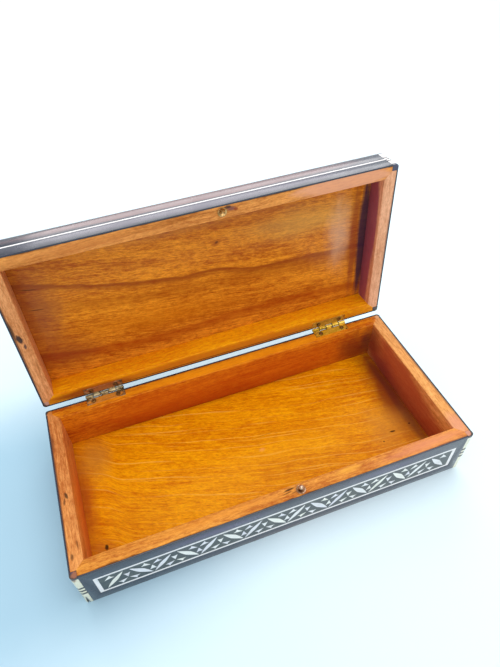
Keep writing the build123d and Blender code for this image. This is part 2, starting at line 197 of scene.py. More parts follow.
def varnished_wood(name, pale, deep, pore, grain=0.0, on_lid=False, start=(0, 0, 0), lines=0.0,
                   patches=(), gloss=0.11, contrast=1.0, sweep=(0.0, 0.0, 0.0), trails=()):
    """Stained and varnished wood.  Grain is its direction, in degrees from the long side, and
    sweep leans and bends it: its slope, the slope's change per metre, and a knee's height.
    Lines is the spacing of pale growth lines, and start is where the pattern begins."""
    knee_start = -98 * mm
    knee_end = -84 * mm
    growth_line = "FFC050"
    varnish_glow = (1.0, 0.46, 0.06, 1)
    finish, tree, shader = new_finish(name)
    where = place_on(tree, on_lid)
    turned = stretched(where, (1, 1, 1), (0, 0, math.radians(grain)), [part * mm for part in start])
    parts = put(tree, "ShaderNodeSeparateXYZ", {0: turned}).outputs
    lean = figure(parts[0], "MULTIPLY_ADD", sweep[1], sweep[0])
    across = figure(parts[0], "MULTIPLY_ADD", lean, parts[1])
    knee = between(parts[0], knee_start, knee_end, 0.0, sweep[2] * mm)
    across = figure(across, "ADD", knee)
    swept = put(tree, "ShaderNodeCombineXYZ", {0: parts[0], 1: across, 2: parts[2]}).outputs[0]
    along = wandering(swept, 6 * mm, 0.06)
    broad = drawn_out(along, 70, 16, 3.0, 0.5)
    streaks = drawn_out(along, 30, 1.6, 5.0, 0.65)
    fibres = drawn_out(along, 3.6, 0.8, 5.0, 0.72)
    flecks = between(drawn_out(along, 1.8, 0.5, 2.0, 0.5), 0.5, 0.72)
    mottle = between(drawn_out(along, 7.5, 5, 4.0, 0.65), 0.3, 0.7)
    share = figure(between(broad, 0.3, 0.72), "MULTIPLY_ADD", 0.36 * contrast, -0.16)
    share = figure(between(streaks, 0.36, 0.64), "MULTIPLY_ADD", 0.36 * contrast, share)
    share = figure(between(fibres, 0.38, 0.62), "MULTIPLY_ADD", 0.44 * contrast, share)
    share = figure(mottle, "MULTIPLY_ADD", 0.28 * contrast, share)
    colour = blended(tree, share, tone(pale), tone(deep))
    colour = blended(tree, figure(flecks, "MULTIPLY", 0.3 * contrast), colour, tone(pore))
    if lines:
        one_wave = 2 * math.pi / 20
        for spacing, reach, shift in ((lines, 0.08, 0.0), (lines * 1.7, 0.05, 0.37)):
            wires = {"Vector": along, "Scale": one_wave / (spacing * mm), "Distortion": 2.6,
                     "Detail": 2.0, "Detail Scale": 0.5, "Phase Offset": shift}
            ring = put(tree, "ShaderNodeTexWave", wires, bands_direction="Y", wave_profile="SAW")
            thin = between(ring.outputs["Fac"], 0.90, 0.99)
            patchy = cloud(stretched(along, (reach, 0.012, 0.012), (0, 0, 0), (shift, 0, 0)), 1.0, 2.0)
            kept = between(patchy, 0.42, 0.60, 0.0, 0.55)
            colour = blended(tree, figure(thin, "MULTIPLY", kept), colour, tone(growth_line))
    for points, above, below, paint, strength in trails:
        here = trail(where, points, above, below)
        colour = blended(tree, figure(here, "MULTIPLY", strength), colour, tone(paint))
    colour = paint_patches(where, colour, patches)
    relief = figure(flecks, "MULTIPLY_ADD", -0.7, figure(fibres, "MULTIPLY", 0.6))
    bump = {"Height": relief, "Strength": 0.4, "Distance": 0.08 * mm}
    rubbed = between(cloud(where, 38.0, 4.0), 0.3, 0.7, 0.38, 0.56)
    shader.inputs["Specular Tint"].default_value = varnish_glow
    polish(shader, colour, rubbed, bump, gloss, 0.22)
    return finish


def finished(shape, name, finish, smooth=30):
    """Turns a bmesh into a piece of the scene with one finish.  Edges sharper than smooth,
    in degrees, stay sharp."""
    mesh = bpy.data.meshes.new(name)
    shape.to_mesh(mesh)
    shape.free()
    mesh.shade_smooth()
    mesh.set_sharp_from_angle(angle=math.radians(smooth))
    mesh.materials.append(finish)
    piece = bpy.data.objects.new(name, mesh)
    bpy.context.scene.collection.objects.link(piece)
    return piece


def joined_faces(node):
    """A merged copy of a part's mesh, with its flat faces whole again."""
    shape = bmesh.new()
    shape.from_mesh(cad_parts[node].data)
    bmesh.ops.remove_doubles(shape, verts=shape.verts, dist=0.002 * mm)
    bmesh.ops.dissolve_limit(shape, verts=shape.verts, edges=shape.edges, angle_limit=math.radians(1))
    return shape


def ease(shape, amount, rounds=2, shortest=2.5 * mm):
    """Rounds the long arrises of a shape, as sandpaper and handling do, but not its mitres."""
    arrises = []
    for edge in shape.edges:
        if len(edge.link_faces) != 2 or edge.calc_length() < shortest:
            continue
        on_mitre = any(0.6 < abs(face.normal.x) < 0.8 for face in edge.link_faces)
        if edge.calc_face_angle(0) > math.radians(30) and not on_mitre:
            arrises.append(edge)
    bmesh.ops.bevel(shape, geom=arrises, offset=amount, segments=rounds, profile=0.6,
                    affect="EDGES", clamp_overlap=False)


def stands_for(piece, body, node):
    """Rides a piece on its body in place of one part, which it hides."""
    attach(piece, body)
    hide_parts(node)


base_rim = 36
wall_finishes = {
    "front": dict(pale="F4A444", deep="B0561A", pore="8E4812", trails=(
        (((-120, -54.9), (120, -54.9)), 0.9, 1.0, "3E2218", 0.85),), patches=(
        # The right end is rosier, a painted reflection on the varnish, and the rest of the rim is paler
        # along the middle.
        ((92, -51, base_rim), (46, 6, 6), 0, "DE8A64", 0.75, 0.9),
        ((-40, -50, base_rim), (60, 3.0, 2), 0, "F29A38", 0.45, 0.9),
        ((40, -49.5, base_rim), (12, 2.4, 2), 0, "F0A83C", 0.7, 0.9),
        # Scratches beside the catch, and a darker ring round its stud.
        ((3.4, -49.0, base_rim), (4.2, 0.7, 1), 4, "40200E", 0.95, 0.5),
        ((1.6, -50.6, base_rim), (3.6, 0.45, 1), 6, "6A3A18", 0.8, 0.5),
        ((5.5, -51.4, base_rim), (2.4, 0.4, 1), 10, "7A4A20", 0.7, 0.5),
        ((9.5, -51, base_rim), (4.6, 4.2, 2), 0, "80431A", 0.65, 0.7),
        # Bruises along the outer edge.
        ((2, -54.6, base_rim), (3.5, 0.6, 1), 0, "3A2418", 0.8, 0.5),
        ((15, -54.7, base_rim), (4.0, 0.5, 1), 0, "3A2418", 0.8, 0.5),
        ((-62, -54.7, base_rim), (9.0, 0.35, 1), 0, "55321E", 0.6, 0.5),
        ((-98, -54.3, base_rim), (5.0, 0.8, 1), 3, "4A2C20", 0.7, 0.5))),
    "back": dict(pale="F69A1C", deep="B24A0C", pore="8A3808", start=(40, 12, 0), trails=(
        (((-120, 54.9), (120, 54.9)), 1.2, 0.9, "5A2A12", 0.8),), patches=(
        # The inner face is darker and redder toward the floor: painted shade in that corner, over old
        # varnish.
        ((0, 46.8, 0), (130, 3, 24), 0, "8A2808", 0.85, 0.9),
        ((-60, 46.8, 10), (60, 3, 20), 0, "9A3408", 0.55, 0.9),
        ((0, 46.8, 18), (130, 0.9, 24), 0, "BE440A", 0.5, 0.5),
        # A painted highlight lightens the back rim, which the open lid shades.
        ((0, 50.5, base_rim), (130, 4.2, 1.6), 0, "FFA012", 0.6, 0.6),
        # Painted shade darkens the right end of the inner face, in the back corner.
        ((98, 46.8, 14), (20, 3, 30), 0, "6A1C18", 0.75, 0.9),
        ((109, 46.8, 18), (8, 3, 24), 0, "3E1428", 0.65, 0.9))),
    "left": dict(pale="F4A45C", deep="B25C26", pore="7E4418", start=(0, 33, 0), patches=(
        ((-118.9, 0, base_rim), (0.9, 56, 1.4), 0, "5A3024", 0.7, 0.6),
        # Dents and scratches.
        ((-115.2, -8, base_rim), (1.1, 2.8, 3), 14, "3E2016", 0.9, 0.5),
        ((-116.6, -11.5, base_rim), (0.7, 2.8, 3), -8, "5A3420", 0.75, 0.5),
        ((-113.4, -38, base_rim), (0.7, 3.4, 3), 6, "6E3C1C", 0.7, 0.6),
        ((-117, -44, base_rim), (1.1, 2.4, 3), 0, "4E2C1C", 0.75, 0.6),
        ((-118.2, 30, base_rim), (1.2, 9, 3), 2, "5A2E22", 0.6, 0.7),
        ((-111.5, -6, 12), (1.2, 60, 24), 0, "DE6C1C", 0.7, 0.8))),
    "right": dict(pale="F8B268", deep="B86C30", pore="94501E", start=(20, 51, 0), patches=(
        # The inner face is redder, and painted shade darkens it toward the back corner.
        ((110.8, 0, 18), (1.3, 70, 27), 0, "A83E2C", 0.8, 0.3),
        ((111.5, 30, 8), (1.4, 30, 18), 0, "7A2A3A", 0.55, 0.8),
        ((111.5, 46, 24), (1.4, 17, 16), 0, "7A2418", 0.75, 0.8),
        # A painted reflection makes the rim rosy at its front end, and its outer edge is dark.
        ((115, -46, base_rim), (8, 14, 4), 0, "DE9478", 0.7, 0.8),
        ((118.6, 0, base_rim), (0.8, 54, 1.4), 0, "7A5040", 0.65, 0.6))),
}
for side, look in wall_finishes.items():
    grain = 0.0 if side in ("front", "back") else 90.0
    finish = varnished_wood(f"amber_wood_base_{side}", grain=grain, **look)
    shape = joined_faces(f"base_{side}_wall")
    ease(shape, 0.35 * mm)
    wall = finished(shape, f"wall_base_{side}", finish)
    stands_for(wall, "base", f"base_{side}_wall")

# ---------------------------------------------------------------------------
# Floor board of the base.  One thin board let up into the walls, the brightest
# wood of the box: amber varnish over pale flecked wood with fine growth lines.
# ---------------------------------------------------------------------------
floor_top = 5.5
floor_finish = varnished_wood(
    "amber_wood_floor", "FFAE06", "CC6A00", "8E4400", lines=7.5, sweep=(0.26, -0.62, 4.5),
    gloss=0.05, patches=(
        # The ends and the back edge are darker: painted shade where the floor meets the walls, over old
        # varnish gathered there.
        ((111, 8, floor_top), (21, 56, 9), 0, "8A3A16", 0.92, 0.65),
        ((108, 0, floor_top), (5, 62, 9), 0, "5E2024", 0.6, 0.8),
        ((92, -18, floor_top), (26, 30, 9), 12, "D08C3C", 0.5, 0.9),
        ((-112, 0, floor_top), (13, 64, 9), 0, "A8481A", 0.75, 0.9),
        ((-104, -36, floor_top), (12, 14, 9), 0, "B0602C", 0.5, 0.9),
        ((-99, 30, floor_top), (16, 22, 9), 0, "C08036", 0.55, 0.9),
        ((20, -8, floor_top), (70, 26, 9), 0, "F8AC08", 0.25, 0.9),
        ((0, 49, floor_top), (125, 5, 9), 0, "A85008", 0.6, 0.9),
        # Small burns, pits and rubbed places.
        ((92.3, -20.6, floor_top), (2.6, 0.8, 2), -6, "2A140A", 0.95, 0.5),
        ((83, -25.5, floor_top), (0.8, 0.7, 2), 0, "4A2410", 0.9, 0.5),
        ((106, -19, floor_top), (1.2, 0.9, 2), 0, "4A1410", 0.85, 0.6),
        ((-102.7, -30.9, floor_top), (1.4, 2.2, 2), 0, "2A140A", 0.95, 0.5),
        ((6, -2.6, floor_top), (3, 2, 2), 0, "F0A060", 0.5, 0.9),
        ((11.5, 7.4, floor_top), (10.5, 0.4, 2), 2, "B06A14", 0.6, 0.5)))
shape = joined_faces("base_floor")
ease(shape, 0.2 * mm)
floor_board = finished(shape, "floor_board", floor_finish)
stands_for(floor_board, "base", "base_floor")

# ---------------------------------------------------------------------------
# Dark veneer of the base.  Sheets under a millimetre thick, stained almost
# black and polished, glued over the walls between the corner strips.  Their
# rim edges are knocked and chipped.
# ---------------------------------------------------------------------------


def dark_veneer(name, on_lid=False, turn=0.0, start=(0, 0, 0), brown=0.25, patches=()):
    """Wood stained almost black and polished.  Brown is how far the stain has faded."""
    black_stain = "141A2C"
    faded_stain = "363044"
    open_pore = "0A0706"
    finish, tree, shader = new_finish(name)
    where = place_on(tree, on_lid)
    turned = stretched(where, (1, 1, 1), (0, 0, math.radians(turn)), [part * mm for part in start])
    along = wandering(turned, 6 * mm, 0.05)
    streaks = drawn_out(along, 50, 1.3, 4.0, 0.6)
    pores = between(drawn_out(along, 3, 0.3, 1.0, 0.4), 0.6, 0.7)
    faded = between(cloud(where, 16.0, 3.0), 0.45, 0.75)
    share = figure(between(streaks, 0.35, 0.75), "MULTIPLY_ADD", 0.6, figure(faded, "MULTIPLY", brown))
    colour = blended(tree, share, tone(black_stain), tone(faded_stain))
    colour = blended(tree, figure(pores, "MULTIPLY", 0.5), colour, tone(open_pore))
    colour = paint_patches(where, colour, patches)
    bump = {"Height": figure(pores, "MULTIPLY", -1.0), "Strength": 0.25, "Distance": 0.05 * mm}
    rubbed = between(cloud(where, 60.0, 4.0), 0.35, 0.7, 0.20, 0.34)
    polish(shader, colour, rubbed, bump, 0.42, 0.12)
    return finish


base_dark = {
    "along": dark_veneer("dark_veneer_base_long", patches=(
        ((-40, -55.5, 31), (46, 2, 5), 0, "4A3C62", 0.75, 0.9),
        ((62, -55.5, 31), (34, 2, 5), 0, "463A5E", 0.75, 0.9),
        ((10, -55.5, 2), (90, 2, 4), 0, "40282E", 0.75, 0.9))),
    "across": dark_veneer("dark_veneer_base_end", turn=90.0, start=(20, 0, 0)),
}
for side in ("front", "back", "left", "right"):
    shape = joined_faces(f"base_{side}_veneer")
    ease(shape, 0.14 * mm)
    finish = base_dark["along" if side in ("front", "back") else "across"]
    sheet = finished(shape, f"veneer_base_{side}", finish)
    stands_for(sheet, "base", f"base_{side}_veneer")

# ---------------------------------------------------------------------------
# Corner strips of the base.  A square stick of bone at each upright edge, with
# five thin lines of ebony and bone across it and an ebony cap at the rim.
# ---------------------------------------------------------------------------


def bone_finish(name, on_lid=False, white="E9E8D6", shade="B9B79C", grime=0.5, patches=(), odd=0.0):
    """Bleached bone: cream, faintly streaked, with grime in its pores.  Odd is how far
    each separate piece may differ from the next."""
    cooler_piece = "D8D4EA"
    thin_dirt = "8E8468"
    pore_dirt = "5A4E3A"
    finish, tree, shader = new_finish(name)
    where = place_on(tree, on_lid)
    mottled = cloud(where, 260.0, 4.0)
    streaks = drawn_out(where, 6, 0.7)
    pores = between(drawn_out(where, 1.6, 0.3, 1.0), 0.66, 0.74)
    share = figure(between(mottled, 0.35, 0.75), "MULTIPLY_ADD", 0.4, figure(streaks, "MULTIPLY", 0.3))
    colour = blended(tree, share, tone(white), tone(shade))
    if odd:
        own = put(tree, "ShaderNodeNewGeometry", {}).outputs["Random Per Island"]
        colour = blended(tree, figure(own, "MULTIPLY", odd), colour, tone(cooler_piece))
    dirt_and_shade = figure(between(cloud(where, 90.0, 5.0), 0.52, 0.75), "MULTIPLY", grime * 0.5)
    colour = blended(tree, dirt_and_shade, colour, tone(thin_dirt))
    colour = blended(tree, figure(pores, "MULTIPLY", 0.6 * grime), colour, tone(pore_dirt))
    colour = paint_patches(where, colour, patches)
    bump = {"Height": figure(pores, "MULTIPLY", -1.0), "Strength": 0.3, "Distance": 0.04 * mm}
    polish(shader, colour, between(mottled, 0.3, 0.7, 0.28, 0.44), bump, 0.25, 0.15)
    return finish


def ebony_finish(name, on_lid=False, patches=()):
    """Ebony: close and nearly black, with browner clouds and no grain to see."""
    dark_heart = "1B1513"
    brown_cloud = "4A2F20"
    finish, tree, shader = new_finish(name)
    where = place_on(tree, on_lid)
    mottled = cloud(where, 150.0, 4.0)
    colour = blended(tree, between(mottled, 0.4, 0.75), tone(dark_heart), tone(brown_cloud))
    colour = paint_patches(where, colour, patches)
    polish(shader, colour, between(mottled, 0.3, 0.7, 0.26, 0.42), None, 0.4, 0.12)
    return finish


def split_foot(strip, filling):
    """Cuts a crack into the foot of a strip, a wedge that runs out upwards."""
    wedge = bmesh.new()
    foot = [Vector((x, y, -0.2)) * mm for x, y in ((-119.2, -56), (-117.1, -56), (-118.2, -53.9))]
    tip = Vector((-118.9, -55.7, 11)) * mm
    points = [wedge.verts.new(place) for place in foot + [tip]]
    for trio in ((0, 1, 2), (0, 1, 3), (1, 2, 3), (2, 0, 3)):
        wedge.faces.new([points[number] for number in trio])
    bmesh.ops.recalc_face_normals(wedge, faces=wedge.faces)
    gap = finished(wedge, "split", filling)
    crack = strip.modifiers.new("crack", "BOOLEAN")
    crack.solver = "EXACT"
    crack.object = gap
    bpy.context.view_layer.update()
    ready = strip.evaluated_get(bpy.context.evaluated_depsgraph_get())
    mesh = bpy.data.meshes.new_from_object(ready)
    strip.modifiers.remove(crack)
    strip.data = mesh
    bpy.data.objects.remove(gap)


corners = ("front_left", "front_right", "back_left", "back_right")
base_bone = bone_finish("bone_base_corners", white="EFE9D0", shade="D0CBAE")
split_bone = bone_finish("bone_base_split", white="EFE9D0", shade="D0CBAE", patches=(
    ((-118.1, -54.9, 0.2), (0.95, 1.7, 10.5), 0, "2A1C12", 0.97, 0.35),
    ((-119.7, -54.9, 9.0), (1.0, 1.5, 5.5), 0, "8E8A5E", 0.6, 0.8),
    ((-118.6, -55.4, 34.2), (2.2, 1.6, 3.2), 0, "8A5A34", 0.85, 0.7)))
for corner in corners:
    shape = joined_faces(f"base_corner_{corner}")
    ease(shape, 0.1 * mm, rounds=1, shortest=1.0 * mm)
    finish = split_bone if corner == "front_left" else base_bone
    strip = finished(shape, f"corner_base_{corner}", finish)
    if corner == "front_left":
        split_foot(strip, split_bone)
    stands_for(strip, "base", f"base_corner_{corner}")
shape = joined_faces("base_corner_ebony")
ease(shape, 0.1 * mm, rounds=1, shortest=1.0 * mm)
worn_caps = ebony_finish("ebony_base_corners", patches=(
    ((-117.2, -53.4, base_rim), (2.4, 2.2, 2.6), 0, "9A5630", 0.9, 0.5),
    ((-118.6, -51.4, base_rim), (1.6, 1.6, 2.6), 0, "4A2A44", 0.7, 0.6),
    ((117, -52.6, base_rim), (2.6, 2.6, 2.4), 0, "D08868", 0.95, 0.35),
    ((-117, 52.5, base_rim), (2.5, 2.5, 2.4), 0, "D07C34", 0.95, 0.35),
    ((117, 52.5, base_rim), (2.5, 2.5, 2.4), 0, "D8904A", 0.95, 0.35)))
lines = finished(shape, "corner_lines_base", worn_caps)
stands_for(lines, "base", "base_corner_ebony")

# ---------------------------------------------------------------------------
# Inlay bands.  A bone string frames a dark ground in which leaves and petals of
# bone are laid, each sawn by hand, so that no two are quite alike.  The front
# carries eight repeats, each end three, and the lid's top seven.
# ---------------------------------------------------------------------------
period = 26.5 * mm
figure_thickness = 0.8 * mm
ground_sunk = 0.05 * mm
leaf_rise = 14.6
thin_run = 11.0
wide_run = 12.0
petal_outline = (
    (0.6, 0), (3.2, -0.95), (4.6, -1.4), (5.95, -1.95), (5.45, -0.95), (5.3, 0), (5.45, 0.95),
    (5.95, 1.95), (4.6, 1.4), (3.2, 0.95))
petal_angles = (90.0, -33.0, 213.0)
thin_place = 5.8 * mm
wide_place = 20.2 * mm
sprig_place = 12.7 * mm
sprig_height = 2.6 * mm


def sawn_figure(name, outline):
    """A flat bone figure with its top at z 0 and its sawn edge a little eased."""
    shape = bmesh.new()
    top = shape.faces.new([shape.verts.new((x * mm, y * mm, 0)) for x, y in outline])
    grown = bmesh.ops.extrude_face_region(shape, geom=[top])
    lower = [part for part in grown["geom"] if isinstance(part, bmesh.types.BMVert)]
    bmesh.ops.translate(shape, verts=lower, vec=(0, 0, -figure_thickness))
    bmesh.ops.recalc_face_normals(shape, faces=shape.faces)
    rim = [edge for edge in shape.edges if all(point.co.z > -0.01 * mm for point in edge.verts)]
    bmesh.ops.bevel(shape, geom=rim, offset=0.09 * mm, segments=1, affect="EDGES")
    mesh = bpy.data.meshes.new(name)
    shape.to_mesh(mesh)
    shape.free()
    pattern = bpy.data.objects.new(name, mesh)
    bpy.context.scene.collection.objects.link(pattern)
    return pattern


def leaf_outline(run, rise, width, belly):
    """Points of a long leaf, in millimetres: a lozenge whose sides swell by belly."""
    span = math.hypot(run, rise)
    steps = 5
    side = []
    for step in range(steps):
        share = step / steps
        flat = width / 2 * share
        side.append((span / 2 * (1 - share), flat + belly * math.sin(math.pi * share)))
    upper = side + [(0, width / 2)] + [(-x, y) for x, y in reversed(side)]
    lower = [(x, -y) for x, y in reversed(upper[1:-1])]
    return upper + lower


thin_leaf = sawn_figure("thin_leaf", leaf_outline(thin_run, leaf_rise, width=3.1, belly=0.22))
wide_leaf = sawn_figure("wide_leaf", leaf_outline(wide_run, leaf_rise, width=3.9, belly=0.25))
petal = sawn_figure("petal", petal_outline)
thin_angle = math.degrees(math.atan2(leaf_rise, thin_run))
wide_angle = -math.degrees(math.atan2(leaf_rise, wide_run))


def inlay_tree(name, repeats):
    """A run of long leaves and of three-petalled sprigs, which stand above and below the
    band's middle line by turns.  A single petal closes each end of the upper row."""
    tree = bpy.data.node_groups.new(name, "GeometryNodeTree")
    sockets = {}
    for label, kind, value in (
            ("Period", "Float", period), ("Waver", "Float", math.radians(1.3)),
            ("Uneven", "Float", 0.035), ("Seed", "Int", 1), ("Place", "Vector", (0, 0, 0)),
            ("Turn", "Vector", (0, 0, 0)), ("Finish", "Material", None)):
        socket = tree.interface.new_socket(label, in_out="INPUT", socket_type="NodeSocket" + kind)
        if value is not None:
            socket.default_value = value
        sockets[label] = socket.identifier
    tree.interface.new_socket("Band", in_out="OUTPUT", socket_type="NodeSocketGeometry")
    given = put(tree, "NodeGroupInput", {}).outputs
    step = put(tree, "ShaderNodeCombineXYZ", {0: given["Period"]}).outputs[0]
    first = -repeats * period / 2
    rows = [(thin_leaf, first + thin_place, 0, thin_angle, repeats),
            (wide_leaf, first + wide_place, 0, wide_angle, repeats)]
    for angle in petal_angles:
        rows.append((petal, first + sprig_place, -sprig_height, angle, repeats))
        rows.append((petal, first + period, sprig_height, -angle, repeats - 1))
    rows.append((petal, first, sprig_height, -petal_angles[1], 1))
    rows.append((petal, -first, sprig_height, -petal_angles[2], 1))
    gather = put(tree, "GeometryNodeJoinGeometry", {})
    less = put(tree, "ShaderNodeMath", {0: given["Waver"], 1: -1.0}, operation="MULTIPLY").outputs[0]
    short = put(tree, "ShaderNodeMath", {0: 1.0, 1: given["Uneven"]}, operation="SUBTRACT").outputs[0]
    long = put(tree, "ShaderNodeMath", {0: 1.0, 1: given["Uneven"]}).outputs[0]
    for number, (pattern, x, y, angle, count) in enumerate(rows):
        wires = {"Count": count, "Start Location": (x, y, 0), "Offset": step}
        line = put(tree, "GeometryNodeMeshLine", wires)
        draw = put(tree, "ShaderNodeMath", {0: given["Seed"], 1: number * 7.0}).outputs[0]
        waver = put(tree, "FunctionNodeRandomValue", {2: less, 3: given["Waver"], "Seed": draw})
        lean = put(tree, "ShaderNodeMath", {0: waver.outputs[1], 1: math.radians(angle)}).outputs[0]
        turn = put(tree, "ShaderNodeCombineXYZ", {2: lean}).outputs[0]
        grow = put(tree, "FunctionNodeRandomValue", {2: short, 3: long, "Seed": draw}).outputs[1]
        shape = put(tree, "GeometryNodeObjectInfo", {0: pattern}).outputs["Geometry"]
        wires = {"Points": line.outputs[0], "Instance": shape, "Rotation": turn, "Scale": grow}
        laid = put(tree, "GeometryNodeInstanceOnPoints", wires).outputs[0]
        tree.links.new(laid, gather.inputs[0])
    wires = {0: gather.outputs[0], "Translation": given["Place"], "Rotation": given["Turn"]}
    placed = put(tree, "GeometryNodeTransform", wires).outputs[0]
    real = put(tree, "GeometryNodeRealizeInstances", {0: placed}).outputs[0]
    painted = put(tree, "GeometryNodeSetMaterial", {0: real, "Material": given["Finish"]}).outputs[0]
    put(tree, "NodeGroupOutput", {0: painted})
    return tree, sockets


def grown_from(tree, values, name):
    """Runs a Geometry Nodes tree once and keeps its result as a plain piece."""
    seed_mesh = bpy.data.meshes.new(name + "_start")
    maker = bpy.data.objects.new(name + "_maker", seed_mesh)
    bpy.context.scene.collection.objects.link(maker)
    work = maker.modifiers.new("work", "NODES")
    work.node_group = tree
    for identifier, value in values.items():
        work[identifier] = value
    bpy.context.view_layer.update()
    ready = maker.evaluated_get(bpy.context.evaluated_depsgraph_get())
    mesh = bpy.data.meshes.new_from_object(ready)
    maker.modifiers.remove(work)
    bpy.data.objects.remove(maker)
    mesh.name = name
    piece = bpy.data.objects.new(name, mesh)
    bpy.context.scene.collection.objects.link(piece)
    return piece


def ground_finish(name, on_lid=False):
    """The band's dark ground: dull, grey-green and a little cloudy."""
    deep_ground = "282E2E"
    worn_ground = "50544E"
    finish, tree, shader = new_finish(name)
    where = place_on(tree, on_lid)
    mottled = cloud(where, 190.0, 4.0)
    colour = blended(tree, between(mottled, 0.38, 0.72), tone(deep_ground), tone(worn_ground))
    bump = {"Height": mottled, "Strength": 0.3, "Distance": 0.05 * mm}
    polish(shader, colour, between(mottled, 0.3, 0.7, 0.28, 0.45), bump, 0.3, 0.15)
    return finish


def ground_plate(name, middle, turn, size, finish):
    """The band's ground as one plate, turned to its side of the box."""
    shape = bmesh.new()
    bmesh.ops.create_cube(shape, size=1.0)
    seat = Matrix.Translation(middle) @ turn @ Matrix.Diagonal(size.to_4d())
    bmesh.ops.transform(shape, matrix=seat, verts=shape.verts)
    bmesh.ops.subdivide_edges(shape, edges=shape.edges, cuts=1)
    return finished(shape, name, finish)


bands = {
    "front_band": dict(repeats=8, out=Vector((0, -1, 0)), turn=(90, 0, 0)),
    "left_band": dict(repeats=3, out=Vector((-1, 0, 0)), turn=(90, 0, -90)),
    "right_band": dict(repeats=3, out=Vector((1, 0, 0)), turn=(90, 0, 90)),
}
unturned = Matrix.Identity(4)
base_ground = ground_finish("dark_ground_base")
band_bone = bone_finish("bone_band_base", white="FCFAEE", shade="E2E0D0", odd=0.6)
string_bone = bone_finish("bone_strings_base", white="F6F0EE", shade="DCD6D2", grime=0.3)
for number, (band, facts) in enumerate(bands.items()):
    low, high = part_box(band + "_ground")
    middle = (low + high) / 2
    size = high - low
    face = middle + Vector([part * reach / 2 for part, reach in zip(facts["out"], size)])
    tree, sockets = inlay_tree("inlay_" + band, facts["repeats"])
    values = {
        sockets["Place"]: face,
        sockets["Turn"]: Vector([math.radians(angle) for angle in facts["turn"]]),
        sockets["Seed"]: 11 + number,
        sockets["Finish"]: band_bone,
    }
    figures = grown_from(tree, values, band + "_leaves")
    stands_for(figures, "base", band + "_figures")
    sunk = middle - facts["out"] * ground_sunk
    plate = ground_plate(band + "_plate", sunk, unturned, size, base_ground)
    stands_for(plate, "base", band + "_ground")
    shape = joined_faces(band + "_border")
    ease(shape, 0.12 * mm, rounds=1)
    border = finished(shape, band + "_string", string_bone)
    stands_for(border, "base", band + "_border")

# ---------------------------------------------------------------------------
# Walls of the lid.  The same wood, mitred like the base and lower.  The front
# board is rosier toward its right end, and ink has stained the left one.
# ---------------------------------------------------------------------------
lid_wall_finishes = {
    "front": dict(pale="F6A654", deep="B4642A", pore="7E421A", trails=(
        (((-120, -54.9), (120, -54.9)), 0.9, 1.0, "3E2218", 0.85),), patches=(
        ((86, -51, 0), (38, 6, 9), 0, "E4A07E", 0.75, 0.35),
        ((-70, -51, 0), (60, 6, 9), 0, "DA8A4A", 0.5, 0.9),
        # Ink beside the cup of the catch, and a darker ring round the cup.
        ((14.6, -52.2, 0), (4.6, 1.9, 2), 10, "6A3C42", 0.85, 0.7),
        ((12.8, -53.4, 0), (2.8, 1.1, 2), 0, "241A2A", 0.85, 0.5),
        ((17.6, -51.2, 0), (1.8, 1.4, 2), 0, "8A3420", 0.85, 0.6),
        ((9.5, -51, 0), (4.6, 4.0, 2), 0, "84501F", 0.7, 0.7))),
    "back": dict(pale="FFB40C", deep="DC7608", pore="9A4A08", start=(10, 7, 0), patches=(
        ((0, 52, 0), (130, 5, 1.0), 0, "C87018", 0.75, 0.5),
        ((-88, 52, 0), (36, 5, 1.2), 0, "8A3A12", 0.8, 0.6),
        ((0, 53.4, 0), (130, 0.5, 1.0), 0, "4E2810", 0.7, 0.5))),
    "left": dict(pale="F8AC70", deep="BC7240", pore="7A4620", start=(0, 27, 0), patches=(
        ((-118.8, 0, 0), (0.9, 56, 1.4), 0, "4A2820", 0.7, 0.6),
        # An ink stain and its splashes.
        ((-116.4, -2, 0), (2.0, 4.2, 3), -8, "1C1A26", 0.95, 0.5),
        ((-115.0, 4, 0), (1.0, 2.4, 3), 10, "3A2A34", 0.85, 0.5),
        ((-118.4, -9, 0), (1.2, 8, 3), 0, "3A241C", 0.8, 0.6),
        ((-113, 20, 0), (0.7, 9, 3), 2, "9A5A2C", 0.6, 0.7))),
    "right": dict(pale="F6B890", deep="C8845C", pore="86522A", start=(0, 44, 0), patches=(
        # Painted shade darkens the inner face a purple brown.
        ((111.6, 0, 10), (1.6, 70, 9.5), 0, "923E5A", 0.9, 0.35),
        ((118.8, 0, 0), (0.8, 54, 1.4), 0, "6A4A44", 0.65, 0.6))),
}
for side, look in lid_wall_finishes.items():
    grain = 0.0 if side in ("front", "back") else 90.0
    finish = varnished_wood(f"amber_wood_lid_{side}", grain=grain, on_lid=True, **look)
    shape = joined_faces(f"lid_{side}_wall")
    ease(shape, 0.3 * mm)
    wall = finished(shape, f"wall_lid_{side}", finish)
    stands_for(wall, "lid", f"lid_{side}_wall")

